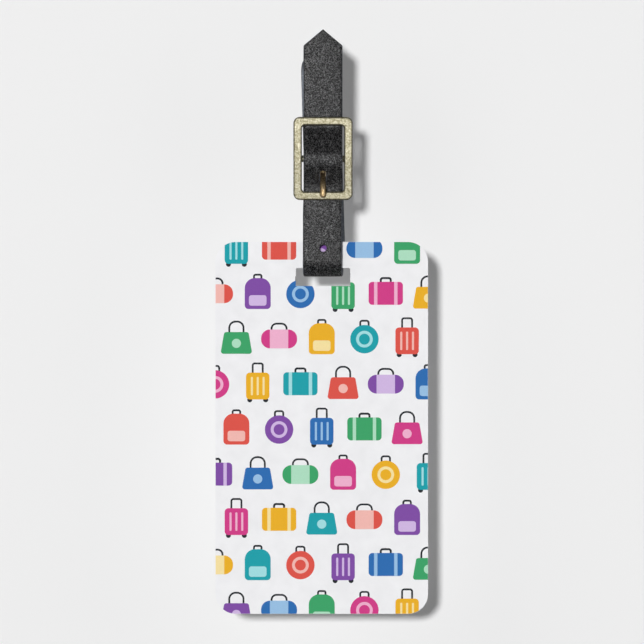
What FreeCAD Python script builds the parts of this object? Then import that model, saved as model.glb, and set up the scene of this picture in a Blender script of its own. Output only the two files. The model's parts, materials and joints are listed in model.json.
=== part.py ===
import FreeCAD, Part

import math
import os
from types import SimpleNamespace

import Sketcher

# Card luggage tag on a buckled leather strap. Millimetres, +Z up, +X to the right, and the
# printed front faces -Y. The origin is the point inside the top of the strap's loop where a
# bag's handle bears. The strap is folded round the buckle's centre bar, goes up and over the
# loop, down the back, forward through the card's slot, up the front, over the centre bar
# again and ends in a pointed tip.

VECTOR = FreeCAD.Vector

# alias, value, meaning
PARAMETERS = [
    ("card_width", 50.8, "card width"),
    ("card_height", 88.9, "card height"),
    ("card_corner", 4.8, "card corner radius"),
    ("core_thick", 2.2, "card core thickness"),
    ("film_thick", 0.15, "thickness of each bonded film"),
    ("card_x", -0.3, "card centre, sideways"),
    ("card_y", -2.2, "card mid-plane"),
    ("card_z", -86.7, "card centre, height"),
    ("slot_width", 13.0, "slot width"),
    ("slot_height", 4.3, "slot height"),
    ("slot_corner", 0.3, "slot corner radius"),
    ("slot_x", 0.3, "slot centre, sideways from the card's centre"),
    ("slot_z", 36.05, "slot centre above the card's centre"),
    ("strap_width", 9.3, "strap width"),
    ("strap_thick", 1.3, "strap thickness"),
    ("loop_inner", 3.2, "inner radius at the top of the loop"),
    ("turn_inner", 2.4, "inner radius of the turn through the slot"),
    ("turn_rise", 1.7, "turn centre above the slot's top edge"),
    ("back_lean", 16.0, "lean of the back strand where it leaves the slot, degrees"),
    ("back_bow", 5.15, "back strand's centre plane where it bows out most"),
    ("top_lean", 4.0, "lean of the back strand where it leaves the loop, degrees"),
    ("pin_y", -4.0, "centre bar, depth"),
    ("pin_z", -22.4, "centre bar, height"),
    ("pin_radius", 0.8, "centre bar radius"),
    ("pin_length", 13.5, "centre bar length"),
    ("pin_gap", 0.05, "running clearance round the centre bar"),
    ("fold_end_z", -7.0, "top of the folded-back end"),
    ("fold_up_z", -15.7, "height where the strap lies flat above the centre bar"),
    ("layer_gap", 0.15, "gap between the fold and the free end"),
    ("tongue_slot_width", 2.3, "slot in the fold for the tongue, width"),
    ("tongue_slot_low", -25.5, "slot in the fold for the tongue, lower end"),
    ("tongue_slot_high", -19.3, "slot in the fold for the tongue, upper end"),
    ("hole_width", 2.0, "tongue hole in the free end, width"),
    ("hole_low", -28.3, "tongue hole in the free end, lower end"),
    ("hole_high", -25.3, "tongue hole in the free end, upper end"),
    ("spare_hole_z", -43.8, "spare adjusting hole, height"),
    ("spare_hole_radius", 0.85, "spare adjusting hole, radius"),
    ("shoulder_z", 4.6, "height where the tip starts to narrow"),
    ("tip_z", 8.4, "height of the strap's tip"),
    ("frame_width", 14.1, "buckle frame width"),
    ("frame_height", 19.8, "buckle frame height"),
    ("frame_bar", 2.0, "buckle bar width"),
    ("frame_thick", 1.65, "buckle bar thickness"),
    ("frame_corner", 1.5, "buckle outer corner radius"),
    ("window_corner", 0.8, "buckle inner corner radius"),
    ("frame_front", -7.9, "front of the buckle's end bars"),
    ("frame_dip", 0.8, "set-back of the side bars at the centre bar"),
    ("frame_bend", 12.0, "front radius of the side bars' bend"),
    ("frame_round", 0.45, "rounding of the buckle's front edges"),
    ("ear_back", -2.95, "back of the ears that hold the centre bar"),
    ("ear_half", 1.35, "half height of the ears"),
    ("tongue_ring", 1.55, "outer radius of the tongue's ring"),
    ("tongue_width", 1.5, "tongue width at its ring"),
    ("tongue_radius", 0.7, "tongue rod radius"),
    ("tongue_lift", 0.1, "gap between the tongue and the end bar"),
    ("rivet_z", -9.5, "rivet height"),
    ("rivet_shank", 1.0, "rivet shank radius"),
    ("rivet_head", 1.9, "rivet head radius"),
    ("rivet_head_thick", 0.5, "rivet head thickness"),
    ("rivet_cap_radius", 2.2, "rivet cap radius"),
    ("rivet_cap_thick", 0.9, "rivet cap height"),
    ("rivet_gap", 0.05, "clearance round the rivet"),
]

FULL_TURN = 360.0
CUT_DEPTH = 8.0  # deeper than the front strands, short of the back strand
ORIGIN_POINT = (-1, 1)  # the sketch's own origin, in constraints


def make_sheet(document):
    """Writes the driving dimensions into a spreadsheet and returns it."""
    sheet = document.addObject("Spreadsheet::Sheet", "Params")
    for row, (alias, value, meaning) in enumerate(PARAMETERS, start=1):
        sheet.set(f"A{row}", meaning)
        sheet.set(f"B{row}", str(value))
        sheet.setAlias(f"B{row}", alias)
    document.recompute()
    return sheet


def read_sheet(sheet):
    """Returns the sheet's values as plain numbers under their aliases."""
    return SimpleNamespace(**{alias: float(sheet.get(alias)) for alias, _, _ in PARAMETERS})


doc = FreeCAD.newDocument("LuggageTag")
params = make_sheet(doc)
P = read_sheet(params)


# ---------------------------------------------------------------- shared helpers


def new_body(label):
    body = doc.addObject("PartDesign::Body", label)
    body.Label = label
    return body


def place(piece, **bases):
    """Binds the piece's Placement to expressions, such as x="Params.card_x"."""
    for axis, expression in bases.items():
        piece.setExpression(f"Placement.Base.{axis}", expression)


def new_sketch(body, role, name):
    """Adds a sketch on one of the body's own origin planes."""
    plane = next(f for f in body.Origin.OriginFeatures if f.Role == role)
    sketch = body.newObject("Sketcher::SketchObject", name)
    sketch.AttachmentSupport = [(plane, "")]
    sketch.MapMode = "FlatFace"
    return sketch


def shift(sketch, **bases):
    """Moves a sketch on its plane by expressions; z is along the plane's normal."""
    for axis, expression in bases.items():
        sketch.setExpression(f"AttachmentOffset.Base.{axis}", expression)


def bind(sketch, constraint, name, expression):
    """Adds a dimension to a sketch and drives it by an expression."""
    index = sketch.addConstraint(constraint)
    sketch.renameConstraint(index, name)
    sketch.setExpression(f"Constraints.{name}", expression)


def add_circle(sketch, radius, name):
    """Draws a circle about the sketch's origin, its radius driven by an expression."""
    value = float(sketch.evalExpression(radius))
    circle = Part.Circle(VECTOR(0, 0, 0), VECTOR(0, 0, 1), value)
    index = sketch.addGeometry(circle, False)
    sketch.addConstraint(Sketcher.Constraint("Coincident", index, 3, *ORIGIN_POINT))
    bind(sketch, Sketcher.Constraint("Radius", index, value), name, radius)


def add_rounded_rectangle(sketch, width, height, corner):
    """Draws a rounded rectangle about the sketch's origin, driven by three expressions."""
    half_w = float(sketch.evalExpression(width)) / 2
    half_h = float(sketch.evalExpression(height)) / 2
    radius = float(sketch.evalExpression(corner))
    corners = [(1, 1), (-1, 1), (-1, -1), (1, -1)]
    arcs = []
    for quarter, (side_x, side_y) in enumerate(corners):
        centre = VECTOR(side_x * (half_w - radius), side_y * (half_h - radius), 0)
        circle = Part.Circle(centre, VECTOR(0, 0, 1), radius)
        start = quarter * math.pi / 2
        arc = Part.ArcOfCircle(circle, start, start + math.pi / 2)
        arcs.append(sketch.addGeometry(arc, False))
    lines = []
    for quarter in range(4):
        start = sketch.getPoint(arcs[quarter], 2)
        end = sketch.getPoint(arcs[(quarter + 1) % 4], 1)
        lines.append(sketch.addGeometry(Part.LineSegment(start, end), False))
    for quarter, line in enumerate(lines):
        following = arcs[(quarter + 1) % 4]
        sketch.addConstraint(Sketcher.Constraint("Tangent", arcs[quarter], 2, line, 1))
        sketch.addConstraint(Sketcher.Constraint("Tangent", line, 2, following, 1))
    for line in lines[0::2]:
        sketch.addConstraint(Sketcher.Constraint("Horizontal", line))
    for line in lines[1::2]:
        sketch.addConstraint(Sketcher.Constraint("Vertical", line))
    for arc in arcs[1:]:
        sketch.addConstraint(Sketcher.Constraint("Equal", arcs[0], arc))
    opposite = Sketcher.Constraint("Symmetric", arcs[0], 3, arcs[2], 3, *ORIGIN_POINT)
    sketch.addConstraint(opposite)
    across = Sketcher.Constraint("DistanceX", lines[1], 1, lines[3], 1, 2 * half_w)
    upward = Sketcher.Constraint("DistanceY", lines[2], 1, lines[0], 1, 2 * half_h)
    bind(sketch, across, "width", width)
    bind(sketch, upward, "height", height)
    bind(sketch, Sketcher.Constraint("Radius", arcs[0], radius), "corner", corner)


def add_chain(sketch, curves):
    """Adds curves that follow each other and ties their ends together."""
    indices = [sketch.addGeometry(curve, False) for curve in curves]
    for first, second in zip(indices, indices[1:]):
        sketch.addConstraint(Sketcher.Constraint("Coincident", first, 2, second, 1))
    return indices


def add_polygon(sketch, points):
    """Draws a closed polygon through (x, y) points."""
    corners = [VECTOR(x, y, 0) for x, y in points]
    sides = [Part.LineSegment(a, b) for a, b in zip(corners, corners[1:] + corners[:1])]
    indices = add_chain(sketch, sides)
    sketch.addConstraint(Sketcher.Constraint("Coincident", indices[-1], 2, indices[0], 1))


def pad(body, sketch, length, name="Pad"):
    """Pads a sketch by an expression, half of it to each side."""
    feature = body.newObject("PartDesign::Pad", name)
    feature.Profile = sketch
    feature.SideType = "Symmetric"
    feature.setExpression("Length", length)
    sketch.Visibility = False
    doc.recompute()
    return feature


def pocket(body, sketch, name, depth=None, reverse=False):
    """Cuts a sketch out of the body: right through, or depth millimetres one way."""
    before = body.Shape.Volume
    feature = body.newObject("PartDesign::Pocket", name)
    feature.Profile = sketch
    if depth is None:
        feature.SideType = "Symmetric"
        feature.Type = "ThroughAll"
    else:
        feature.Length = depth
        feature.Reversed = reverse
    sketch.Visibility = False
    doc.recompute()
    if body.Shape.Volume >= before:
        raise ValueError(f"{body.Label}: {name} removed nothing")
    return feature


def fillet(body, wanted, radius, name):
    """Rounds the edges of the body that the test accepts."""
    base = body.Tip
    edges = [
        f"Edge{index}"
        for index, edge in enumerate(base.Shape.Edges, start=1)
        if wanted(edge)
    ]
    feature = body.newObject("PartDesign::Fillet", name)
    feature.Base = (base, edges)
    feature.setExpression("Radius", radius)
    doc.recompute()
    return feature


# ---------------------------------------------------------------- strap centre lines


def rounded_path(points):
    """Turns (y, z, radius) points into straight runs joined by tangent arcs.

    Returns segments ("line", start, end) and ("arc", centre, radius, start angle, sweep).
    """
    segments = []
    start = VECTOR(points[0][0], points[0][1], 0)
    for before, here, after in zip(points, points[1:], points[2:]):
        corner = VECTOR(here[0], here[1], 0)
        inward = (corner - VECTOR(before[0], before[1], 0)).normalize()
        outward = (VECTOR(after[0], after[1], 0) - corner).normalize()
        turn = math.atan2(inward.cross(outward).z, inward.dot(outward))
        radius = here[2]
        tangent = radius * math.tan(abs(turn) / 2)
        enter = corner - inward * tangent
        segments.append(("line", start, enter))
        left = VECTOR(-inward.y, inward.x, 0)
        side = 1 if turn > 0 else -1
        centre = enter + left * (side * radius)
        angle = math.atan2(enter.y - centre.y, enter.x - centre.x)
        segments.append(("arc", centre, radius, angle, turn))
        start = corner + outward * tangent
    segments.append(("line", start, VECTOR(points[-1][0], points[-1][1], 0)))
    return segments


def on_circle(centre, radius, angle):
    return centre + VECTOR(radius * math.cos(angle), radius * math.sin(angle), 0)


def offset_curve(segment, offset):
    """Returns the curve that lies offset millimetres to the left of a segment."""
    if segment[0] == "line":
        _, start, end = segment
        along = (end - start).normalize()
        aside = VECTOR(-along.y, along.x, 0) * offset
        return Part.LineSegment(start + aside, end + aside)
    _, centre, radius, angle, sweep = segment
    side = 1 if sweep > 0 else -1
    radius_here = radius - side * offset
    points = [on_circle(centre, radius_here, angle + sweep * share) for share in (0, 0.5, 1)]
    return Part.Arc(*points)


def ends_of(segment, offset):
    curve = offset_curve(segment, offset)
    if segment[0] == "line":
        return curve.StartPoint, curve.EndPoint
    _, centre, radius, angle, sweep = segment
    side = 1 if sweep > 0 else -1
    radius_here = radius - side * offset
    return on_circle(centre, radius_here, angle), on_circle(centre, radius_here, angle + sweep)


def add_ribbon(sketch, segments, thickness):
    """Draws the closed outline of a band of even thickness along a centre line."""
    half = thickness / 2
    for offset in (half, -half):
        for segment in segments:
            sketch.addGeometry(offset_curve(segment, offset), False)
    for end_segment, which in ((segments[0], 0), (segments[-1], 1)):
        first = ends_of(end_segment, half)[which]
        second = ends_of(end_segment, -half)[which]
        sketch.addGeometry(Part.LineSegment(first, second), False)


def length_of(segments):
    total = 0.0
    for segment in segments:
        if segment[0] == "line":
            total += (segment[2] - segment[1]).Length
        else:
            total += segment[2] * abs(segment[4])
    return total


def turn_centre():
    """Centre of the strap's turn through the card's slot."""
    slot_top = P.card_z + P.slot_z + P.slot_height / 2
    return VECTOR(P.card_y, slot_top + P.turn_rise, 0)


def fold_planes():
    """Centre planes of the fold: its back leg, and its front leg low and high."""
    wrap = P.pin_radius + P.pin_gap + P.strap_thick / 2
    upper = -(P.loop_inner + P.strap_thick / 2)
    return P.pin_y + wrap, P.pin_y - wrap, upper


def loop_centre_line():
    """From the folded-back end, round the centre bar and the loop, to the slot."""
    back_leg, front_low, front_high = fold_planes()
    wrap = P.pin_radius + P.pin_gap + P.strap_thick / 2
    pin = VECTOR(P.pin_y, P.pin_z, 0)
    top_radius = P.loop_inner + P.strap_thick / 2
    top = VECTOR(0, -P.loop_inner, 0)
    turn = turn_centre()
    turn_radius = P.turn_inner + P.strap_thick / 2
    lean = math.radians(P.back_lean)
    top_lean = math.radians(P.top_lean)
    leave = on_circle(turn, turn_radius, -lean)
    depart = on_circle(top, top_radius, top_lean)
    bow_low = leave.y + (P.back_bow - leave.x) / math.tan(lean)
    bow_high = depart.y - (P.back_bow - depart.x) / math.tan(top_lean)
    rise = 1.0  # straight stretch beside the centre bar before the legs close up
    segments = [("line", VECTOR(back_leg, P.fold_end_z, 0), VECTOR(back_leg, P.pin_z, 0))]
    segments.append(("arc", pin, wrap, 0.0, -math.pi))
    segments += rounded_path([
        (front_low, P.pin_z, 0),
        (front_low, P.pin_z + rise, 4.0),
        (front_high, P.fold_up_z, 6.0),
        (front_high, top.y, 0),
    ])
    segments.append(("arc", top, top_radius, math.pi, top_lean - math.pi))
    segments += rounded_path([
        (depart.x, depart.y, 0),
        (P.back_bow, bow_high, 60.0),
        (P.back_bow, bow_low, 30.0),
        (leave.x, leave.y, 0),
    ])
    segments.append(("arc", turn, turn_radius, -lean, lean - math.pi / 2))
    return segments


def free_end_planes():
    """Centre planes of the free end: over the centre bar, and flat above it."""
    _, front_low, front_high = fold_planes()
    step = P.strap_thick + P.layer_gap
    return front_low - step, front_high - step


def free_end_centre_line():
    """From the slot, up the front, over the centre bar, to the tip."""
    turn = turn_centre()
    turn_radius = P.turn_inner + P.strap_thick / 2
    front = turn.x - turn_radius
    crest, upper = free_end_planes()
    cut_gap = 0.1  # half angle left at the cut between the strap's two nodes, radians
    start = -math.pi / 2 - cut_gap
    segments = [("arc", turn, turn_radius, start, -math.pi / 2 + cut_gap)]
    segments += rounded_path([
        (front, turn.y, 0),
        (front, P.pin_z - 6.2, 5.0),
        (crest, P.pin_z - 1.3, 6.0),
        (crest, P.pin_z + 1.3, 6.0),
        (upper, P.fold_up_z + 0.3, 6.0),
        (upper, P.tip_z, 0),
    ])
    return segments


# ---------------------------------------------------------------- card


def make_plate(label, thickness, depth):
    """One rounded plate of the card, with the strap slot cut through it."""
    body = new_body(label)
    outline = new_sketch(body, "XZ_Plane", f"{label}_outline")
    add_rounded_rectangle(outline, "Params.card_width", "Params.card_height", "Params.card_corner")
    pad(body, outline, thickness, f"{label}_pad")
    slot = new_sketch(body, "XZ_Plane", f"{label}_slot")
    shift(slot, x="Params.slot_x", y="Params.slot_z")
    add_rounded_rectangle(slot, "Params.slot_width", "Params.slot_height", "Params.slot_corner")
    pocket(body, slot, f"{label}_slot_cut")
    place(body, x="Params.card_x", y=depth, z="Params.card_z")
    return body


def make_card():
    film_depth = "(Params.core_thick + Params.film_thick) / 2"
    return [
        make_plate("card_core", "Params.core_thick", "Params.card_y"),
        make_plate("front_film", "Params.film_thick", f"Params.card_y - {film_depth}"),
        make_plate("back_film", "Params.film_thick", f"Params.card_y + {film_depth}"),
    ]


# ---------------------------------------------------------------- strap


def make_strap_loop():
    body = new_body("strap_loop")
    profile = new_sketch(body, "YZ_Plane", "strap_loop_profile")
    add_ribbon(profile, loop_centre_line(), P.strap_thick)
    pad(body, profile, "Params.strap_width", "strap_loop_pad")

    tongue_slot = new_sketch(body, "XZ_Plane", "strap_loop_tongue_slot")
    shift(tongue_slot, y="(Params.tongue_slot_low + Params.tongue_slot_high) / 2")
    add_rounded_rectangle(
        tongue_slot,
        "Params.tongue_slot_width",
        "Params.tongue_slot_high - Params.tongue_slot_low",
        "Params.tongue_slot_width / 2 - 0.1",
    )
    pocket(body, tongue_slot, "strap_loop_tongue_cut", CUT_DEPTH, reverse=True)

    rivet_hole = new_sketch(body, "XZ_Plane", "strap_loop_rivet_hole")
    shift(rivet_hole, y="Params.rivet_z")
    add_circle(rivet_hole, "Params.rivet_shank + Params.rivet_gap", "hole")
    pocket(body, rivet_hole, "strap_loop_rivet_cut", CUT_DEPTH, reverse=True)

    recess = new_sketch(body, "XZ_Plane", "strap_loop_head_recess")
    shift(recess, y="Params.rivet_z", z="Params.loop_inner + Params.strap_thick")
    add_circle(recess, "Params.rivet_head + Params.rivet_gap", "recess")
    pocket(body, recess, "strap_loop_recess_cut", P.rivet_head_thick)
    return body


def make_strap_free_end():
    body = new_body("strap_free_end")
    profile = new_sketch(body, "YZ_Plane", "free_end_profile")
    add_ribbon(profile, free_end_centre_line(), P.strap_thick)
    pad(body, profile, "Params.strap_width", "free_end_pad")

    tongue_hole = new_sketch(body, "XZ_Plane", "free_end_tongue_hole")
    shift(tongue_hole, y="(Params.hole_low + Params.hole_high) / 2")
    add_rounded_rectangle(
        tongue_hole,
        "Params.hole_width",
        "Params.hole_high - Params.hole_low",
        "Params.hole_width / 2 - 0.1",
    )
    pocket(body, tongue_hole, "free_end_tongue_cut")

    spare_hole = new_sketch(body, "XZ_Plane", "free_end_spare_hole")
    shift(spare_hole, y="Params.spare_hole_z")
    add_circle(spare_hole, "Params.spare_hole_radius", "hole")
    pocket(body, spare_hole, "free_end_spare_cut")

    tip = new_sketch(body, "XZ_Plane", "free_end_tip")
    margin = 1.0
    edge = P.strap_width / 2
    for side in (-1, 1):
        add_polygon(tip, [
            (side * edge, P.shoulder_z),
            (0, P.tip_z),
            (0, P.tip_z + margin),
            (side * (edge + margin), P.tip_z + margin),
            (side * (edge + margin), P.shoulder_z),
        ])
    pocket(body, tip, "free_end_tip_cut")
    return body


# ---------------------------------------------------------------- rivet


def revolve_about_depth(body, sketch, name):
    """Turns a half section, drawn in depth and height, about the depth axis."""
    feature = body.newObject("PartDesign::Revolution", name)
    feature.Profile = sketch
    feature.ReferenceAxis = (sketch, ["H_Axis"])
    feature.Angle = FULL_TURN
    sketch.Visibility = False
    doc.recompute()
    return feature


def make_rivet_post():
    """Flat head sunk in the front leg, with a shank through both legs."""
    body = new_body("rivet_post")
    back_leg, _, front_high = fold_planes()
    proud = 0.05
    grip = 0.35  # shank beyond the back leg, inside the cap
    head_front = front_high - P.strap_thick / 2 - proud
    head_back = head_front + P.rivet_head_thick
    shank_end = back_leg + P.strap_thick / 2 + grip
    section = new_sketch(body, "YZ_Plane", "rivet_post_section")
    add_polygon(section, [
        (head_front, 0),
        (head_front, P.rivet_head),
        (head_back, P.rivet_head),
        (head_back, P.rivet_shank),
        (shank_end, P.rivet_shank),
        (shank_end, 0),
    ])
    revolve_about_depth(body, section, "rivet_post_turn")
    place(body, z="Params.rivet_z")
    return body


def make_rivet_cap():
    """Domed cap on the back leg, with a blind socket for the shank."""
    body = new_body("rivet_cap")
    back_leg, _, _ = fold_planes()
    seat_gap = 0.02
    socket_depth = 0.45
    rim = 0.25
    seat = back_leg + P.strap_thick / 2 + seat_gap
    socket = P.rivet_shank + 0.6 * P.rivet_gap
    crown = VECTOR(seat + P.rivet_cap_thick, 0, 0)
    rim_top = VECTOR(seat + rim, P.rivet_cap_radius, 0)
    shoulder = VECTOR(seat + 0.78 * P.rivet_cap_thick, 0.6 * P.rivet_cap_radius, 0)
    socket_end = VECTOR(seat + socket_depth, 0, 0)
    socket_corner = VECTOR(seat + socket_depth, socket, 0)
    socket_mouth = VECTOR(seat, socket, 0)
    rim_base = VECTOR(seat, P.rivet_cap_radius, 0)
    section = new_sketch(body, "YZ_Plane", "rivet_cap_section")
    section.addGeometry(Part.Arc(crown, shoulder, rim_top), False)
    for start, end in (
        (rim_top, rim_base),
        (rim_base, socket_mouth),
        (socket_mouth, socket_corner),
        (socket_corner, socket_end),
        (socket_end, crown),
    ):
        section.addGeometry(Part.LineSegment(start, end), False)
    revolve_about_depth(body, section, "rivet_cap_turn")
    place(body, z="Params.rivet_z")
    return body


# ---------------------------------------------------------------- buckle


def frame_side_profile():
    """Side view of the frame: two straight halves that meet at the centre bar."""
    half = P.frame_height / 2
    front = P.frame_front
    back = front + P.frame_thick
    dip = P.frame_dip
    front_arc = P.frame_bend
    back_arc = P.frame_bend - P.frame_thick
    return [
        rounded_path([(front, -half, 0), (front + dip, 0, front_arc), (front, half, 0)]),
        rounded_path([(back, half, 0), (back + dip, 0, back_arc), (back, -half, 0)]),
    ]


def make_buckle_frame():
    body = new_body("buckle_frame")
    profile = new_sketch(body, "YZ_Plane", "frame_profile")
    for chain in frame_side_profile():
        for segment in chain:
            profile.addGeometry(offset_curve(segment, 0), False)
    half = P.frame_height / 2
    front = P.frame_front
    back = front + P.frame_thick
    for height in (half, -half):
        ends = (VECTOR(front, height, 0), VECTOR(back, height, 0))
        profile.addGeometry(Part.LineSegment(*ends), False)
    pad(body, profile, "Params.frame_width", "frame_pad")

    ears = new_sketch(body, "YZ_Plane", "frame_ears")
    ear_root = P.frame_front + P.frame_dip + P.frame_thick / 2
    nose = 0.6  # height lost at the ears' rounded-off back corners
    add_polygon(ears, [
        (ear_root, -P.ear_half),
        (P.ear_back - nose, -P.ear_half),
        (P.ear_back, -P.ear_half + nose),
        (P.ear_back, P.ear_half - nose),
        (P.ear_back - nose, P.ear_half),
        (ear_root, P.ear_half),
    ])
    pad(body, ears, "Params.frame_width", "frame_ears_pad")

    fillet(body, is_outer_corner, "Params.frame_corner", "frame_corners")

    window = new_sketch(body, "XZ_Plane", "frame_window")
    add_rounded_rectangle(
        window,
        "Params.frame_width - 2 * Params.frame_bar",
        "Params.frame_height - 2 * Params.frame_bar",
        "Params.window_corner",
    )
    pocket(body, window, "frame_window_cut")

    bore = new_sketch(body, "YZ_Plane", "frame_bore")
    shift(bore, x="Params.pin_y")
    add_circle(bore, "Params.pin_radius + 0.01", "bore")
    pocket(body, bore, "frame_bore_cut")

    fillet(body, is_front_rim, "Params.frame_round", "frame_front_rounding")
    place(body, z="Params.pin_z")
    return body


def is_outer_corner(edge):
    """True for the four short edges across the bars' thickness at the frame's corners."""
    first, last = (vertex.Point for vertex in edge.Vertexes[:2])
    at_side = abs(abs(first.x) - P.frame_width / 2) < 0.01
    at_end = abs(abs(first.z) - P.frame_height / 2) < 0.01
    across = abs(first.x - last.x) < 0.01 and abs(first.z - last.z) < 0.01
    return at_side and at_end and across


def is_front_rim(edge):
    """True for edges that lie on the frame's bent front face."""
    half = P.frame_height / 2
    for share in (0.0, 0.5, 1.0):
        first, last = edge.ParameterRange
        point = edge.valueAt(first + (last - first) * share)
        front_here = P.frame_front + P.frame_dip * (1 - abs(point.z) / half)
        if point.y > front_here + 0.06:
            return False
    return True


def make_buckle_pin():
    """The centre bar: a plain round pin, riveted into the ears."""
    pin = doc.addObject("Part::Cylinder", "buckle_pin")
    pin.Label = "buckle_pin"
    pin.setExpression("Radius", "Params.pin_radius")
    pin.setExpression("Height", "Params.pin_length")
    pin.Placement.Rotation = FreeCAD.Rotation(VECTOR(0, 1, 0), 90)
    place(pin, x="-Params.pin_length / 2", y="Params.pin_y", z="Params.pin_z")
    return pin


def make_buckle_tongue():
    """A ring round the centre bar, drawn out into a rod that rests on the end bar."""
    body = new_body("buckle_tongue")
    ring = new_sketch(body, "YZ_Plane", "tongue_ring")
    add_circle(ring, "Params.tongue_ring", "outside")
    pad(body, ring, "Params.tongue_width", "tongue_ring_pad")

    root = P.tongue_ring - P.tongue_radius  # the rod starts flush with the ring's front
    rest_y = P.frame_front - P.tongue_lift - P.tongue_radius - P.pin_y
    tip = -P.frame_height / 2 + 0.5
    neck = 3.8
    path = new_sketch(body, "YZ_Plane", "tongue_path")
    curves = rounded_path([
        (-root, 0, 0),
        (-root - 0.05, -neck, 1.6),
        (rest_y, tip + 2.6, 2.0),
        (rest_y, tip, 0),
    ])
    for segment in curves:
        path.addGeometry(offset_curve(segment, 0), False)
    section = new_sketch(body, "XY_Plane", "tongue_section")
    shift(section, y="Params.tongue_radius - Params.tongue_ring")
    add_circle(section, "Params.tongue_radius", "rod")
    rod = body.newObject("PartDesign::AdditivePipe", "tongue_rod")
    rod.Profile = section
    rod.Spine = path
    section.Visibility = False
    path.Visibility = False
    doc.recompute()

    def is_tip_rim(edge):
        return all(abs(vertex.Point.z - tip) < 0.01 for vertex in edge.Vertexes)

    fillet(body, is_tip_rim, "Params.tongue_radius - 0.1", "tongue_tip")
    bore = new_sketch(body, "YZ_Plane", "tongue_bore")
    add_circle(bore, "Params.pin_radius + Params.pin_gap", "bore")
    pocket(body, bore, "tongue_bore_cut")
    place(body, y="Params.pin_y", z="Params.pin_z")
    return body


# ---------------------------------------------------------------- build and write


pieces = make_card()
pieces += [make_strap_loop(), make_strap_free_end()]
pieces += [make_rivet_post(), make_rivet_cap()]
pieces += [make_buckle_frame(), make_buckle_pin(), make_buckle_tongue()]
doc.recompute()

for item in doc.Objects:
    faults = [state for state in item.State if state in ("Invalid", "Error")]
    if faults:
        raise ValueError(f"{item.Label} failed to build: {faults}")
for piece in pieces:
    shape = piece.Shape
    if shape.isNull() or not shape.isValid() or len(shape.Solids) != 1:
        raise ValueError(f"{piece.Label} is not one valid solid")

os.makedirs("parts", exist_ok=True)
for piece in pieces:
    piece.Shape.exportStep(f"parts/{piece.Label}.step")
    print(f"{piece.Label}: {piece.Shape.Volume:.1f} mm3")

strap_length = length_of(loop_centre_line()) + length_of(free_end_centre_line())
print(f"strap length {strap_length:.1f} mm")
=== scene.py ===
"""Looks of the card luggage tag: grained leather strap, aged brass buckle, printed gloss card.

Lengths in the shape code are millimetres; meshes are written in metres in the CAD frame.
"""

import json
import math

import bpy
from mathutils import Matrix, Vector, noise


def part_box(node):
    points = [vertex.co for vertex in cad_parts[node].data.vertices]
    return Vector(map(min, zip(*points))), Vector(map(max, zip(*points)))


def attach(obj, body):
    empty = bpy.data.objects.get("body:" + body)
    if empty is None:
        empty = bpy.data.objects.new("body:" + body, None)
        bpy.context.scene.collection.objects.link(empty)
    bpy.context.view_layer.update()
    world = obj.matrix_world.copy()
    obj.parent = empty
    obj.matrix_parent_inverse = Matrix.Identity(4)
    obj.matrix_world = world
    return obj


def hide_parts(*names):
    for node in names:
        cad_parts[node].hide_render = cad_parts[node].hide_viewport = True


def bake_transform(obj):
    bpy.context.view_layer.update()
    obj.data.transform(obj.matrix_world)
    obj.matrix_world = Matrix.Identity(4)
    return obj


MM = 0.001

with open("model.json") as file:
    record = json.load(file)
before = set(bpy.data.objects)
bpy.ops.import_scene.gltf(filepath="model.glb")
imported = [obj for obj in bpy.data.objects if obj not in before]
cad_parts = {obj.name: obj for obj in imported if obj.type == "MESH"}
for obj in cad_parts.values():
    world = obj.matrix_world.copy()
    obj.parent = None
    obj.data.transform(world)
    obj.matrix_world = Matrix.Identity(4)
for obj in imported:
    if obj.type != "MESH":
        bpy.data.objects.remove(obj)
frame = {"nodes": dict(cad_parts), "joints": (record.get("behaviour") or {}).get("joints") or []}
nodes = frame["nodes"]
joints = {joint["name"]: joint for joint in frame["joints"]}
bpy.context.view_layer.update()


# ---------------------------------------------------------------- places read from the frame


def box_mm(node):
    low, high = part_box(node)
    return low / MM, high / MM


LOOP_LOW, LOOP_HIGH = box_mm("strap_loop")
PIN_LOW, PIN_HIGH = box_mm("buckle_pin")
FILM_LOW, FILM_HIGH = box_mm("front_film")
BACK_HIGH = box_mm("back_film")[1]
THICK = LOOP_HIGH.z  # the frame's origin is the inside of the loop's top
WIDTH = LOOP_HIGH.x - LOOP_LOW.x
PIN_Y = (PIN_LOW.y + PIN_HIGH.y) / 2
PIN_Z = (PIN_LOW.z + PIN_HIGH.z) / 2
TURN_Y = joints["strap_release"]["pos_m"][1] / MM
TURN_Z = joints["strap_release"]["pos_m"][2] / MM
CARD_X = (FILM_LOW.x + FILM_HIGH.x) / 2
CARD_Z = (FILM_LOW.z + FILM_HIGH.z) / 2


# ---------------------------------------------------------------- strap centre lines (y, z)

LOOP_INNER = 3.2
TURN_RADIUS = 3.05
BACK_LEAN = math.radians(16.0)
TOP_LEAN = math.radians(4.0)
BACK_BOW = 5.15
FOLD_END_Z = -7.0
FOLD_UP_Z = -15.7
LAYER_GAP = 0.15
TIP_Z = 8.4
SHOULDER_Z = 4.6
WRAP = 1.5  # centre line's radius round the centre bar
FRONT_HIGH = -(LOOP_INNER + THICK / 2)
STRAP_STEP = 0.3  # between the cross-sections of a strap
FOLD_HOLE = (-25.5, -19.3, 1.15)  # low z, high z, radius
TONGUE_HOLE = (-28.3, -25.3, 1.0)
SPARE_HOLE = (-44.65, -42.95, 0.85)


def arc(centre, radius, start, sweep, step=0.035):
    """Points (a, b) along an arc, at most step radians apart."""
    count = max(2, math.ceil(abs(sweep) / step))
    angles = [start + sweep * i / count for i in range(count + 1)]
    return [(centre[0] + radius * math.cos(t), centre[1] + radius * math.sin(t)) for t in angles]


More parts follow.
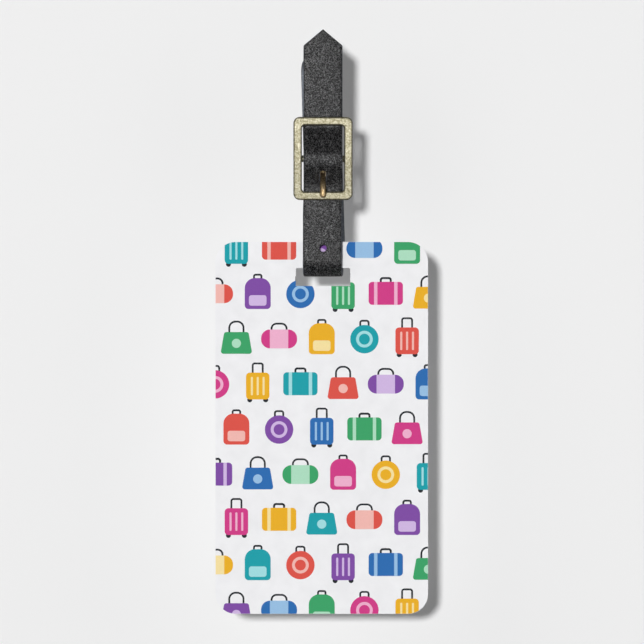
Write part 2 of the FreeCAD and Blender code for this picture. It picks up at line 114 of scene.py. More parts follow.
def round_corners(points, step=0.035):
    """Points (a, b, radius) as a line whose inner corners are rounded by their radius."""
    line = [(points[0][0], points[0][1])]
    for before, here, after in zip(points, points[1:], points[2:]):
        corner = Vector(here[:2])
        inward = (corner - Vector(before[:2])).normalized()
        outward = (Vector(after[:2]) - corner).normalized()
        turn = math.atan2(inward.x * outward.y - inward.y * outward.x, inward.dot(outward))
        if here[2] <= 0 or abs(turn) < 1e-4:
            line.append(tuple(corner))
            continue
        enter = corner - inward * here[2] * math.tan(abs(turn) / 2)
        side = math.copysign(1, turn)
        left = Vector((-inward.y, inward.x))
        centre = enter + left * side * here[2]
        start = math.atan2(enter.y - centre.y, enter.x - centre.x)
        line += arc(centre, here[2], start, turn, step)
    line.append((points[-1][0], points[-1][1]))
    return line


def resample(points, step):
    """The same line with points an even step apart."""
    runs = [Vector(p) for p in points]
    lengths = [0.0]
    for a, b in zip(runs, runs[1:]):
        lengths.append(lengths[-1] + (b - a).length)
    count = max(2, round(lengths[-1] / step))
    result = []
    index = 0
    for i in range(count + 1):
        wanted = lengths[-1] * i / count
        while index < len(runs) - 2 and lengths[index + 1] < wanted:
            index += 1
        span = lengths[index + 1] - lengths[index]
        share = (wanted - lengths[index]) / span if span else 0.0
        result.append(runs[index].lerp(runs[index + 1], share))
    return result


def loop_line():
    """From the folded-back end, round the centre bar, over the loop and down the back."""
    back_leg = PIN_Y + WRAP
    front_low = PIN_Y - WRAP
    top = (0.0, -LOOP_INNER)
    top_radius = LOOP_INNER + THICK / 2
    depart = arc(top, top_radius, TOP_LEAN, 0.0)[0]
    leave = arc((TURN_Y, TURN_Z), TURN_RADIUS, -BACK_LEAN, 0.0)[0]
    bow_low = leave[1] + (BACK_BOW - leave[0]) / math.tan(BACK_LEAN)
    bow_high = depart[1] - (BACK_BOW - depart[0]) / math.tan(TOP_LEAN)
    line = [(back_leg, FOLD_END_Z)]
    line += arc((PIN_Y, PIN_Z), WRAP, 0.0, -math.pi)
    line += round_corners([
        (front_low, PIN_Z, 0),
        (front_low, PIN_Z + 1.0, 4.0),
        (FRONT_HIGH, FOLD_UP_Z, 6.0),
        (FRONT_HIGH, top[1], 0),
    ])
    line += arc(top, top_radius, math.pi, TOP_LEAN - math.pi)
    line += round_corners([
        (*depart, 0),
        (BACK_BOW, bow_high, 60.0),
        (BACK_BOW, bow_low, 30.0),
        (*leave, 0),
    ])
    return line


def free_line():
    """From the back of the slot, through it, up the front and over the centre bar to the tip."""
    crest = PIN_Y - WRAP - THICK - LAYER_GAP
    upper = FRONT_HIGH - THICK - LAYER_GAP
    front = TURN_Y - TURN_RADIUS
    line = arc((TURN_Y, TURN_Z), TURN_RADIUS, -BACK_LEAN, BACK_LEAN - math.pi)
    line += round_corners([
        (front, TURN_Z, 0),
        (front, PIN_Z - 6.2, 5.0),
        (crest, PIN_Z - 1.3, 6.0),
        (crest, PIN_Z + 1.3, 6.0),
        (upper, FOLD_UP_Z + 0.3, 6.0),
        (upper, TIP_Z, 0),
    ])
    return line


# ---------------------------------------------------------------- mesh helpers

GRAIN_FACE, CUT_EDGE, INNER_FACE = range(3)  # the strap's skins, as material numbers
RING_COLUMNS = 26
CROWN = 0.05
EDGE_REACH = 0.32
EDGE_PARTS = 6
EDGE_POWER = 0.6
HOLE_SIDES = 32


def make_object(name, verts, faces, materials, indices=None, smooth=True):
    mesh = bpy.data.meshes.new(name)
    mesh.from_pydata([tuple(v * MM for v in vert) for vert in verts], [], faces)
    for material in materials:
        mesh.materials.append(material)
    if indices:
        mesh.polygons.foreach_set("material_index", indices)
    mesh.polygons.foreach_set("use_smooth", [smooth] * len(mesh.polygons))
    mesh.update()
    obj = bpy.data.objects.new(name, mesh)
    bpy.context.scene.collection.objects.link(obj)
    return obj


def smooth_step(value, low, high):
    share = min(1.0, max(0.0, (value - low) / (high - low)))
    return share * share * (3 - 2 * share)


def strand_shift(depth, height):
    """Sideways lie of the strap: the back strand is a little askew behind the front one."""
    near_slot = smooth_step(height, -30.0, -45.0)
    behind = smooth_step(depth, -1.0 - 3.5 * near_slot, 4.0 - 3.5 * near_slot)
    share = (height - TURN_Z) / (0.0 - TURN_Z)
    low_front = -0.15 * smooth_step(height, -30.0, -36.0)
    in_slot = 0.7 * smooth_step(height, -42.0, -45.0)
    return behind * (0.75 - 1.4 * share) * (1 - in_slot) + (1 - behind) * low_front


def strap_ring(half_width, thick):
    """Cross-section (a, b, kind), from the grain face's left end round by the right edge."""
    edge = min(EDGE_REACH, half_width * 0.6)
    flat = half_width - edge
    right = []
    for i in range(1, EDGE_PARTS):
        t = math.pi / 2 - math.pi * i / EDGE_PARTS
        across = edge * abs(math.cos(t)) ** EDGE_POWER
        rise = thick / 2 * math.copysign(abs(math.sin(t)) ** EDGE_POWER, t)
        kind = {1: GRAIN_FACE, EDGE_PARTS - 1: INNER_FACE}.get(i, CUT_EDGE)
        right.append((flat + across, rise, kind))
    ring = []
    for i in range(RING_COLUMNS + 1):
        a = flat * (2 * i / RING_COLUMNS - 1)
        ring.append((a, thick / 2 + CROWN * (1 - (a / half_width) ** 4), GRAIN_FACE))
    ring += right
    for i in range(RING_COLUMNS + 1):
        ring.append((flat * (1 - 2 * i / RING_COLUMNS), -thick / 2, INNER_FACE))
    ring += [(-a, b, kind) for a, b, kind in reversed(right)]
    return ring


def strap_piece(name, line, half_width_at, materials, seed):
    """A leather band along a (y, z) line. Its UVs are millimetres along and around it."""
    points = resample(line, STRAP_STEP)
    verts = []
    runs = []
    for i, here in enumerate(points):
        ahead = points[min(i + 1, len(points) - 1)]
        behind = points[max(i - 1, 0)]
        along = (ahead - behind).normalized()
        outward = Vector((-along.y, along.x))
        wobble = noise.noise(Vector((i * 0.03, seed, 0.0)))
        ring = strap_ring(half_width_at(here.y), THICK * (1 + 0.03 * wobble))
        aside = strand_shift(here.x, here.y)
        for a, b, kind in ring:
            ragged = noise.noise(Vector((i * 0.09, math.copysign(3.0, a), seed)))
            edge = 0.05 * ragged * (abs(a) / (WIDTH / 2)) ** 6
            x = aside + a + math.copysign(edge, a)
            verts.append((x, here.x + outward.x * b, here.y + outward.y * b))
        runs.append(i * STRAP_STEP)
    size = len(ring)
    around = [0.0]
    full = strap_ring(WIDTH / 2, THICK)
    for first, second in zip(full, full[1:]):
        around.append(around[-1] + math.hypot(second[0] - first[0], second[1] - first[1]))
    around.append(around[-1] + THICK / 4)
    faces = []
    kinds = []
    uvs = []
    for i in range(len(points) - 1):
        for j in range(size):
            k = (j + 1) % size
            faces.append((i * size + j, i * size + k, (i + 1) * size + k, (i + 1) * size + j))
            sides = (ring[j][2], ring[k][2])
            kinds.append(CUT_EDGE if CUT_EDGE in sides else max(sides))
            near, far = runs[i], runs[i + 1]
            uvs += [(around[j], near), (around[j + 1], near), (around[j + 1], far), (around[j], far)]
    last = (len(points) - 1) * size
    faces.append(tuple(reversed(range(size))))
    faces.append(tuple(last + j for j in range(size)))
    kinds += [CUT_EDGE, CUT_EDGE]
    uvs += [(a, b) for a, b, _ in reversed(ring)] + [(a, b) for a, b, _ in ring]
    obj = make_object(name, verts, faces, materials, kinds)
    layer = obj.data.uv_layers.new(name="UVMap")
    layer.data.foreach_set("uv", [value + seed for uv in uvs for value in uv])
    return obj


def punch(obj, hole, near, far):
    """Cuts a hole (low z, high z, radius) with round ends, from near to far along Y."""
    low, high, radius = hole
    angles = [math.tau * i / HOLE_SIDES for i in range(HOLE_SIDES // 2 + 1)]
    outline = [(radius * math.cos(t), high - radius + radius * math.sin(t)) for t in angles]
    outline += [(-radius * math.cos(t), low + radius - radius * math.sin(t)) for t in angles]
    count = len(outline)
    verts = [(a, near, b) for a, b in outline] + [(a, far, b) for a, b in outline]
    faces = [tuple(range(count)), tuple(reversed(range(count, 2 * count)))]
    for i in range(count):
        k = (i + 1) % count
        faces.append((i, i + count, k + count, k))
    cutter = make_object("cutter", verts, faces, [obj.data.materials[CUT_EDGE]], None, False)
    modifier = obj.modifiers.new("hole", "BOOLEAN")
    modifier.object = cutter
    modifier.solver = "EXACT"
    modifier.material_mode = "TRANSFER"
    depsgraph = bpy.context.evaluated_depsgraph_get()
    opened = bpy.data.meshes.new_from_object(obj.evaluated_get(depsgraph))
    obj.modifiers.clear()
    obj.data = opened
    bpy.data.objects.remove(cutter)


# ---------------------------------------------------------------- materials


def linear(hex_colour):
    """Linear RGBA of an sRGB hex colour."""
    channels = [int(hex_colour[i:i + 2], 16) / 255 for i in (0, 2, 4)]
    return (*[c / 12.92 if c <= 0.04045 else ((c + 0.055) / 1.055) ** 2.4 for c in channels], 1.0)


class Shader:
    """A material with its Principled node, and short ways to add and link nodes."""

    def __init__(self, name, **values):
        self.material = bpy.data.materials.new(name)
        self.material.use_nodes = True
        self.tree = self.material.node_tree
        self.surface = self.tree.nodes["Principled BSDF"]
        self.set(self.surface, values)

    def set(self, node, values):
        for socket, value in values.items():
            name = socket.replace("_", " ")
            if isinstance(value, bpy.types.NodeSocket):
                self.tree.links.new(value, node.inputs[name])
            else:
                node.inputs[name].default_value = value

    def node(self, kind, options=None, **values):
        node = self.tree.nodes.new(f"ShaderNode{kind}")
        for option, value in (options or {}).items():
            setattr(node, option, value)
        self.set(node, values)
        return node

    def ramp(self, factor, *stops):
        """Colour ramp through (position, linear colour) stops."""
        node = self.node("ValToRGB", Fac=factor)
        elements = node.color_ramp.elements
        while len(elements) < len(stops):
            elements.new(0.5)
        for element, (position, colour) in zip(elements, stops):
            element.position = position
            element.color = colour
        return node.outputs["Color"]

    def span(self, factor, low, high):
        """Spreads a 0 to 1 factor over low to high."""
        node = self.node("MapRange", Value=factor)
        node.inputs["To Min"].default_value = low
        node.inputs["To Max"].default_value = high
        return node.outputs["Result"]

    def bump(self, height, distance, strength=1.0, normal=None):
        node = self.node("Bump", Height=height, Distance=distance, Strength=strength)
        if normal:
            self.tree.links.new(normal, node.inputs["Normal"])
        return node.outputs["Normal"]


def grained_leather(name, cell, depth, dark, light, rough, shine):
    """Pebbled leather on UVs in millimetres, with shiny winding creases between the pebbles; the creases
    take the lighter tone, which on the shiny grain side is a painted glint standing in for light sparkling
    on the grain.
    """
    shader = Shader(name, IOR=1.75 if shine else 1.45)
    uv = shader.node("UVMap", {"uv_map": "UVMap"}).outputs["UV"]
    flat = {"noise_dimensions": "2D"}
    winding = shader.node("TexNoise", flat, Vector=uv, Scale=1.0 / cell, Detail=1.5, Distortion=0.5)
    fine = shader.node("TexNoise", flat, Vector=uv, Scale=6.0, Detail=4.0)
    broad = shader.node("TexNoise", flat, Vector=uv, Scale=0.35, Detail=2.0)
    black = (0, 0, 0, 1)
    white = (1, 1, 1, 1)
    ridge_and_glint = shader.ramp(winding.outputs["Fac"], (0.415, black), (0.5, white), (0.585, black))
    # Painted glint: on the grain side the creases get the lighter base colour, standing in for light
    # sparkling on the grain tops.
    shader.set(shader.surface, {"Base_Color": shader.ramp(ridge_and_glint, (0.1, dark), (0.9, light))})
    shader.set(shader.surface, {"Specular_IOR_Level": shader.span(ridge_and_glint, 0.1, 1.0)})
    shader.set(shader.surface, {"Coat_Weight": shader.span(ridge_and_glint, 0.0, shine), "Coat_Roughness": 0.3})
    uneven = shader.node("Math", {"operation": "MULTIPLY_ADD"})
    shader.tree.links.new(broad.outputs["Fac"], uneven.inputs[0])
    uneven.inputs[1].default_value = 0.6
    shader.tree.links.new(fine.outputs["Fac"], uneven.inputs[2])
    shader.set(shader.surface, {"Roughness": shader.span(uneven.outputs[0], rough - 0.12, rough + 0.1)})
    large = shader.bump(ridge_and_glint, depth * MM)
    small = shader.bump(fine.outputs["Fac"], 0.03 * MM, 0.6, large)
    shader.set(shader.surface, {"Normal": small})
    return shader.material


def edge_paint_and_sheen():
    """Grey cut edge of the leather, slightly wavy; its light grey tone is partly the edge's own colour and
    partly painted sheen, standing in for light catching the rounded edge.
    """
    shader = Shader("leather_edge", Specular_IOR_Level=0.5)
    where = shader.node("TexCoord").outputs["Object"]
    wave = shader.node("TexNoise", Vector=where, Scale=900.0, Detail=3.0)
    # Partly painted sheen: the light bluish grey stands in for light catching the rounded edge, on top of
    # the cut edge's own grey.
    tone = shader.ramp(wave.outputs["Fac"], (0.3, linear("4A4E56")), (0.7, linear("6E747E")))
    shader.set(shader.surface, {"Base_Color": tone})
    shader.set(shader.surface, {"Roughness": shader.span(wave.outputs["Fac"], 0.5, 0.75)})
    shader.set(shader.surface, {"Normal": shader.bump(wave.outputs["Fac"], 0.06 * MM)})
    return shader.material


def aged_brass(name, light, middle, dark, rough):
    """Cast brass with mottled patina, fine casting grain and small pits."""
    shader = Shader(name, Metallic=1.0)
    where = shader.node("TexCoord").outputs["Object"]
    patches = shader.node("TexNoise", Vector=where, Scale=2400.0, Detail=4.0, Roughness=0.6)
    grain = shader.node("TexNoise", Vector=where, Scale=3200.0, Detail=3.0)
    pits = shader.node("TexVoronoi", Vector=where, Scale=1500.0)
    tone = shader.ramp(patches.outputs["Fac"], (0.28, dark), (0.48, middle), (0.68, light))
    shader.set(shader.surface, {"Base_Color": tone})
    shader.set(shader.surface, {"Roughness": shader.span(patches.outputs["Fac"], rough + 0.16, rough - 0.1)})
    coarse = shader.bump(patches.outputs["Fac"], 0.04 * MM, 0.7)
    fine = shader.bump(grain.outputs["Fac"], 0.03 * MM, 0.7, coarse)
    pitted = shader.bump(pits.outputs["Distance"], 0.02 * MM, 0.5, fine)
    shader.set(shader.surface, {"Normal": pitted})
    return shader.material


def gloss_sheet(name, tone_low, tone_high, rough, from_ink=False):
    """Gloss laminate with very faint waviness; the ink version takes each shape's colour."""
    shader = Shader(name, Specular_IOR_Level=0.05)
    where = shader.node("TexCoord").outputs["Object"]
    wave = shader.node("TexNoise", Vector=where, Scale=260.0, Detail=3.0)
    if from_ink:
        ink = shader.node("VertexColor", {"layer_name": "ink"}).outputs["Color"]
        grain = shader.node("TexNoise", Vector=where, Scale=5000.0, Detail=2.0)
        shade = shader.ramp(grain.outputs["Fac"], (0.3, tone_low), (0.7, tone_high))
        blend = shader.node("Mix", {"data_type": "RGBA", "blend_type": "MULTIPLY"})
        blend.inputs[0].default_value = 1.0
        shader.tree.links.new(ink, blend.inputs[6])
        shader.tree.links.new(shade, blend.inputs[7])
        tone = blend.outputs[2]
    else:
        tone = shader.ramp(wave.outputs["Fac"], (0.3, tone_low), (0.7, tone_high))
    shader.set(shader.surface, {"Base_Color": tone})
    shader.set(shader.surface, {"Roughness": shader.span(wave.outputs["Fac"], rough, rough + 0.04)})
    shader.set(shader.surface, {"Normal": shader.bump(wave.outputs["Fac"], 0.01 * MM, 0.4)})
    return shader.material


# ---------------------------------------------------------------- printed shapes


PRINT_STEP = 0.2  # radians between the points of a printed curve
DISC_SIDES = 32


class Pen:
    """Draws flat inks on a face of the card, in millimetres from the present picture's centre.

    Every ink is a thin closed prism. Inks drawn later in one picture lie on the earlier ones.
    """

    LAYER = 0.006
    SUNK = 0.02

    def __init__(self, outline, slot):
        self.outline = outline
        self.slot = slot
        self.shapes = []
        self.start(0.0, 0.0)

    def start(self, x, z):
        """Starts a picture round a centre, which is given from the card's centre."""
        self.centre = Vector((x, z))
        self.level = 0

    def poly(self, points, colour, corner=0.0):
        """A polygon, its corners rounded if corner is given."""
        if corner:
            first, last = Vector(points[0]), Vector(points[-1])
            middle = (*first.lerp(last, 0.5), 0)
            path = [middle, *[(x, z, corner) for x, z in points], middle]
            points = round_corners(path, PRINT_STEP)[:-1]
        self.level += 1
        placed = [Vector(p) + self.centre for p in points]
        self.shapes += [(part, colour, self.level) for part in self.clipped(placed)]

    def box(self, x0, z0, x1, z1, colour, top=0.0, low=None):
        """A rectangle with rounded top and low corners; low is as top if not given."""
        low = top if low is None else low
        path = [
            ((x0 + x1) / 2, z0, 0),
            (x1, z0, low),
            (x1, z1, top),
            (x0, z1, top),
            (x0, z0, low),
            ((x0 + x1) / 2, z0, 0),
        ]
        self.poly(round_corners(path, PRINT_STEP)[:-1], colour)

    def disc(self, x, z, radius, colour):
        angles = [math.tau * i / DISC_SIDES for i in range(DISC_SIDES)]
        self.poly([(x + radius * math.cos(t), z + radius * math.sin(t)) for t in angles], colour)

    def arch(self, half_width, z, height, width, colour, corner):
        """A carry handle that stands on z, its corners rounded."""
        path = [
            (-half_width, z, 0),
            (-half_width, z + height, corner),
            (half_width, z + height, corner),
            (half_width, z, 0),
        ]
        self.poly(stroke(round_corners(path, PRINT_STEP), width), colour)

    def clipped(self, points):
        """The parts of a polygon inside the card's outline and outside its slot."""
        for first, second in zip(self.outline, self.outline[1:] + self.outline[:1]):
            along = second - first
            outward = Vector((along.y, -along.x))
            points = cut(points, outward, outward.dot(first))
            if len(points) < 3:
                return []
        x0, x1, z0, z1 = self.slot
        across, upward = Vector((1, 0)), Vector((0, 1))
        clear_across = max(p.x for p in points) <= x0 or min(p.x for p in points) >= x1
        clear_up = max(p.y for p in points) <= z0 or min(p.y for p in points) >= z1
        if clear_across or clear_up:
            return [points]
        inner = cut(cut(points, across, x1), -across, -x0)
        parts = [
            cut(points, across, x0),
            cut(points, -across, -x1),
            cut(inner, upward, z0),
            cut(inner, -upward, -z1),
        ]
        return [part for part in parts if len(part) > 2 and abs(area(part)) > 1e-4]


def area(points):
    return sum(a.x * b.y - a.y * b.x for a, b in zip(points, points[1:] + points[:1])) / 2


def cut(points, outward, limit):
    """Keeps the part of a polygon where outward . p is at most limit."""
    kept = []
    for a, b in zip(points, points[1:] + points[:1]):
        over_a = outward.dot(a) - limit
        over_b = outward.dot(b) - limit
        if over_a <= 0:
            kept.append(a)
        if (over_a < 0 < over_b) or (over_b < 0 < over_a):
            kept.append(a.lerp(b, over_a / (over_a - over_b)))
    return kept


def stroke(points, width):
    """The closed outline of a line drawn with a pen of the given width."""
    line = [Vector(p) for p in points]
    left = []
    right = []
    for i, here in enumerate(line):
        inward = (here - line[i - 1]).normalized() if i else (line[1] - here).normalized()
        outward = (line[i + 1] - here).normalized() if i < len(line) - 1 else inward
        across = Vector((-inward.y - outward.y, inward.x + outward.x)).normalized()
        reach = width / 2 / max(0.5, across.dot(Vector((-inward.y, inward.x))))
        left.append(here + across * reach)
        right.append(here - across * reach)
    return left + right[::-1]


WHITE = "F3F3F5"
DARK = "2B2E33"
GREY = "5C6468"
PALE_GREY = "CBD2D6"
BAG_COLOURS = (
    ("2F6FB5", "9CC4E8"),
    ("E2574C", "F8BEB6"),
    ("F0B429", "FCE6A6"),
    ("3FA66B", "B2E3C6"),
    ("8350A8", "D6BCE8"),
    ("1FA3AE", "A6E2E6"),
    ("D6408A", "F5B5D3"),
)
COLUMN_STEP = 10.2
ROW_STEP = 10.8


def cabin_case(pen, body, trim):
    """Upright case on two wheels, its pull handle out."""
    pen.arch(1.2, 2.0, 2.6, 0.45, DARK, 0.5)
    for x in (-1.9, 1.9):
        pen.disc(x, -4.1, 0.6, DARK)
    pen.box(-2.8, -4.0, 2.8, 2.4, body, 0.9)
    for x in (-1.4, 0.0, 1.4):
        pen.box(x - 0.25, -3.0, x + 0.25, 1.4, trim, 0.2)


def hard_case(pen, body, trim):
    """Flat case with two straps round it."""
    pen.arch(1.2, 2.2, 1.2, 0.5, DARK, 0.5)
    pen.box(-4.1, -3.0, 4.1, 2.5, body, 0.9)
    for x in (-2.4, 2.4):
        pen.box(x - 0.4, -3.0, x + 0.4, 2.5, trim)


def round_bag(pen, body, trim):
    """Sausage-shaped sports bag with a broad band."""
    pen.arch(1.8, 1.2, 2.1, 0.45, DARK, 1.2)
    pen.box(-4.3, -2.6, 4.3, 1.9, body, 2.1)
    pen.box(-2.2, -2.6, 2.2, 1.9, trim)


def shopper(pen, body, trim):
    """Open bag that widens downwards, with one tall handle."""
    pen.arch(1.7, 0.8, 3.0, 0.45, DARK, 1.5)
    pen.poly([(-3.8, -3.9), (3.8, -3.9), (2.9, 1.3), (-2.9, 1.3)], body, 0.6)
    pen.disc(0.0, -1.4, 1.1, trim)


def rucksack(pen, body, trim):
    """Bag with a round top and one front pocket."""
    pen.arch(0.9, 3.1, 1.1, 0.45, DARK, 0.4)
    pen.box(-3.1, -4.0, 3.1, 3.4, body, 2.4, 0.9)
    pen.box(-2.1, -3.2, 2.1, -0.7, trim, 0.6)


def hat_box(pen, body, trim):
    """Round box seen from its flat side."""
    pen.arch(1.0, 2.6, 1.4, 0.45, DARK, 0.5)
    pen.disc(0.0, -0.4, 3.4, body)
    pen.disc(0.0, -0.4, 2.0, trim)
    pen.disc(0.0, -0.4, 1.3, body)


BAGS = (cabin_case, hard_case, shopper, round_bag, rucksack, hat_box)


def bag_rows(pen):
    """Bags in even rows over the whole face, every other row moved by half a step."""
    for row in range(-4, 5):
        for column in range(-3, 4):
            pen.start((column + row % 2 / 2) * COLUMN_STEP, row * ROW_STEP)
            draw = BAGS[(column + 2 * row) % len(BAGS)]
            draw(pen, *BAG_COLOURS[(3 * column + row) % len(BAG_COLOURS)])


def card_outline(inset, corner):
    """The card's rounded outline about its centre, anticlockwise."""
    half_w = (FILM_HIGH.x - FILM_LOW.x) / 2 - inset
    half_h = (FILM_HIGH.z - FILM_LOW.z) / 2 - inset
    path = [
        (0, -half_h, 0),
        (half_w, -half_h, corner),
        (half_w, half_h, corner),
        (-half_w, half_h, corner),
        (-half_w, -half_h, corner),
        (0, -half_h, 0),
    ]
    return [Vector(p) for p in round_corners(path, PRINT_STEP / 2)[:-1]]


def print_mesh(name, shapes, surface, facing, material):
    """One mesh of closed ink prisms on a face whose depth is surface; facing is -1 or 1."""
    verts = []
    faces = []
    colours = []
    for points, colour, level in shapes:
        if area(points) < 0:
            points = points[::-1]
        front = surface + facing * Pen.LAYER * level
        rear = surface - facing * Pen.SUNK
        base = len(verts)
        count = len(points)
        for depth in (front, rear):
            verts += [(CARD_X - facing * p.x, depth, CARD_Z + p.y) for p in points]
        faces.append(tuple(range(base, base + count)))
        faces.append(tuple(range(base + 2 * count - 1, base + count - 1, -1)))
        for i in range(count):
            k = (i + 1) % count
            faces.append((base + i, base + count + i, base + count + k, base + k))
        colours += [linear(colour)] * (2 * count)
    obj = make_object(name, verts, faces, [material], None, False)
    layer = obj.data.color_attributes.new("ink", "FLOAT_COLOR", "POINT")
    layer.data.foreach_set("color", [channel for colour in colours for channel in colour])
    return obj


# ---------------------------------------------------------------- build the pieces

# The grain's light tone 424244 on the creases is painted glint; its dark tone 030304 is the leather's own
# black.
LEATHER = grained_leather("leather_grain", 0.4, 0.09, linear("030304"), linear("424244"), 0.27, 1.0)
LEATHER_BACK = grained_leather("leather_back", 0.35, 0.03, linear("7E838B"), linear("9AA0A9"), 0.75, 0.0)
EDGE = edge_paint_and_sheen()
BRASS = aged_brass("brass", linear("CAC5AF"), linear("A7A187"), linear("706A4C"), 0.42)
TONGUE = aged_brass("brass_worn", linear("EED9B4"), linear("CDB184"), linear("937548"), 0.34)
CORE = gloss_sheet("card_core_white", linear("DADADC"), linear("E6E6E8"), 0.2)
FILM = gloss_sheet("film_white", linear("F0F0F2"), linear("F6F6F8"), 0.07)
INK = gloss_sheet("print_ink", (0.95, 0.95, 0.95, 1), (1, 1, 1, 1), 0.07, from_ink=True)
STRAP_SKINS = [LEATHER, EDGE, LEATHER_BACK]


def even_width(_height):
    return WIDTH / 2


def tip_width(height):
    """Half width of the free end, drawn in to a point above its shoulders."""
    if height < SHOULDER_Z:
        return WIDTH / 2
    share = (height - SHOULDER_Z) / (TIP_Z - SHOULDER_Z)
    return WIDTH / 2 * (1 - share) + 0.12 * share


loop = strap_piece("leather_loop", loop_line(), even_width, STRAP_SKINS, 0.0)
punch(loop, FOLD_HOLE, -8.0, 0.0)
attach(loop, "strap")
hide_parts("strap_loop")

free_end = strap_piece("leather_free_end", free_line(), tip_width, STRAP_SKINS, 40.0)
punch(free_end, TONGUE_HOLE, -9.5, -4.0)
punch(free_end, SPARE_HOLE, -8.0, -3.0)
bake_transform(free_end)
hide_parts("strap_free_end")

SLOT_CENTRE = (0.3, 36.05)  # from the card's centre
SLOT_SIZE = (13.0, 4.3)
SLOT = (
    SLOT_CENTRE[0] - SLOT_SIZE[0] / 2,
    SLOT_CENTRE[0] + SLOT_SIZE[0] / 2,
    SLOT_CENTRE[1] - SLOT_SIZE[1] / 2,
    SLOT_CENTRE[1] + SLOT_SIZE[1] / 2,
)
PRINT_EDGE = card_outline(inset=0.03, corner=4.8)
front_pen = Pen(PRINT_EDGE, SLOT)
bag_rows(front_pen)
front_print = print_mesh("front_inks", front_pen.shapes, FILM_LOW.y, -1, INK)
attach(front_print, "card")


def owner_panel(pen):
    """Ruled panel for the owner's address, with no lettering."""
    pen.box(-20.5, -36.0, 20.5, 26.0, GREY, 2.5)
    pen.box(-20.2, -35.7, 20.2, 25.7, WHITE, 2.2)
    pen.box(-20.2, 17.5, 20.2, 25.7, PALE_GREY, 2.2, 0.0)
    for z in (8.5, -0.5, -9.5, -18.5, -27.5):
        pen.box(-16.5, z, 16.5, z + 0.35, GREY)


back_pen = Pen(PRINT_EDGE, SLOT)
owner_panel(back_pen)
back_print = print_mesh("back_inks", back_pen.shapes, BACK_HIGH.y, 1, INK)
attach(back_print, "card")

for node, material in {
    "card_core": CORE,
    "front_film": FILM,
    "back_film": FILM,
    "rivet_post": BRASS,
    "rivet_cap": BRASS,
    "buckle_frame": BRASS,
    "buckle_pin": BRASS,
    "buckle_tongue": TONGUE,
}.items():
    for slot in nodes[node].material_slots:
        slot.material = material


# ---------------------------------------------------------------- studio


def panel(name, corners, material):
    obj = make_object(name, corners, [(0, 1, 2, 3)], [material], None, False)
    return obj


def upright(y, low, high):
    """Corners of a wide upright panel at a depth, between two heights."""
    return [(-REACH, y, low), (REACH, y, low), (REACH, y, high), (-REACH, y, high)]


def backdrop_paint(name, see_through=False, glow=0.0):
    """Matt pale paint; the see-through one is clear from behind, and glow lights it evenly."""
    pale = linear("F4F4F4")
    shader = Shader(name, Base_Color=pale, Roughness=0.9, Specular_IOR_Level=0.1)
    shader.set(shader.surface, {"Emission_Color": pale, "Emission_Strength": glow})
    if see_through:
        clear_back = shader.node("BsdfTransparent")
        behind = shader.node("NewGeometry").outputs["Backfacing"]
        mix = shader.node("MixShader")
        shader.tree.links.new(behind, mix.inputs[0])
        shader.tree.links.new(shader.surface.outputs[0], mix.inputs[1])
        shader.tree.links.new(clear_back.outputs[0], mix.inputs[2])
        output = shader.tree.nodes["Material Output"]
        shader.tree.links.new(mix.outputs[0], output.inputs["Surface"])
    return shader.material


VIEW_X = -0.24
VIEW_Z = -61.4
VIEW_SPAN = 153.9
WALL_Y = 25.0
FLOOR_Z = -190.0
REACH = 2600.0
REFLECTOR_GLOW = 2.2
REFLECTOR_SPAN = (-1100.0, 60.0)  # heights of its low and high edge

wall = panel(
    "backdrop",
    upright(WALL_Y, FLOOR_Z, REACH),
    backdrop_paint("backdrop_paint", see_through=True),
)
wall.visible_shadow = False
wall.visible_diffuse = False
wall.visible_glossy = False
front_wall = panel(
    "front_wall",
    upright(-REACH, FLOOR_Z, REACH),
    backdrop_paint("wall_paint", glow=0.6),
)
front_wall.visible_shadow = False
front_wall.visible_diffuse = False
front_wall.visible_glossy = False
reflector = panel(
    "reflector",
    upright(50.0 - REACH, *REFLECTOR_SPAN),
    backdrop_paint("reflector_glow", glow=REFLECTOR_GLOW),
)
reflector.visible_camera = False
reflector.visible_diffuse = False
reflector.visible_shadow = False
floor = panel(
    "floor",
    [(-REACH, -REACH, FLOOR_Z), (REACH, -REACH, FLOOR_Z), (REACH, REACH, FLOOR_Z), (-REACH, REACH, FLOOR_Z)],
    backdrop_paint("floor_paint", see_through=True),
)
floor.visible_diffuse = False
floor.visible_glossy = False


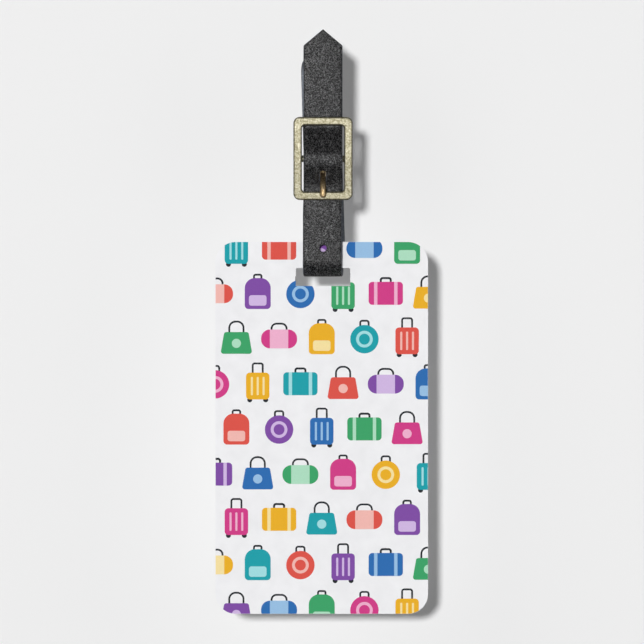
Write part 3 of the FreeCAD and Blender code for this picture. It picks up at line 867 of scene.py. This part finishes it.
def sun(name, direction, strength, angle, glossy=False):
    """Sunlight along a direction; angle is its spread in degrees."""
    data = bpy.data.lights.new(name, "SUN")
    data.energy = strength
    data.angle = math.radians(angle)
    obj = bpy.data.objects.new(name, data)
    obj.rotation_mode = "QUATERNION"
    obj.rotation_quaternion = Vector(direction).to_track_quat("-Z", "Y")
    obj.visible_glossy = glossy
    bpy.context.scene.collection.objects.link(obj)


def softbox(name, place, size, power):
    """A square area light at a place in millimetres, aimed at the object's middle."""
    data = bpy.data.lights.new(name, "AREA")
    data.shape = "RECTANGLE"
    data.size = size[0] * MM
    data.size_y = size[1] * MM
    data.energy = power
    obj = bpy.data.objects.new(name, data)
    obj.location = [v * MM for v in place]
    aim = Vector((VIEW_X, 0, VIEW_Z)) * MM - obj.location
    obj.rotation_mode = "QUATERNION"
    obj.rotation_quaternion = aim.to_track_quat("-Z", "Y")
    bpy.context.scene.collection.objects.link(obj)


KEY_DIRECTION = (0.118, 1.0, -0.083)
KEY_SPREAD = 4.3
sun("key", KEY_DIRECTION, 1.76, KEY_SPREAD)
sun("key_gloss", KEY_DIRECTION, 0.5, KEY_SPREAD, glossy=True)
sun("rear", (-0.25, -1.0, -0.35), 0.6, 8.0)
sun("top", (0.1, 0.0, -1.0), 1.5, 10.0)
softbox("left_box", (-420, -420, 180), (300, 500), 0.35)
softbox("right_box", (460, -330, 60), (200, 420), 0.16)
softbox("rear_box", (120, 520, 160), (500, 500), 0.6)

world = bpy.data.worlds.new("studio")
bpy.context.scene.world = world
world.use_nodes = True
world.node_tree.nodes["Background"].inputs["Color"].default_value = (0.5, 0.5, 0.5, 1)
world.node_tree.nodes["Background"].inputs["Strength"].default_value = 0.3

camera_data = bpy.data.cameras.new("camera")
camera_data.lens = 400.0
camera_data.sensor_width = 36.0
camera = bpy.data.objects.new("camera", camera_data)
distance = VIEW_SPAN * camera_data.lens / camera_data.sensor_width
camera.location = Vector((VIEW_X, FILM_LOW.y - distance, VIEW_Z)) * MM
camera.rotation_euler = (math.pi / 2, 0, 0)
camera_data.clip_start = 0.05
camera_data.clip_end = 20.0
bpy.context.scene.collection.objects.link(camera)
bpy.context.scene.camera = camera
bpy.context.scene.view_settings.view_transform = "Standard"
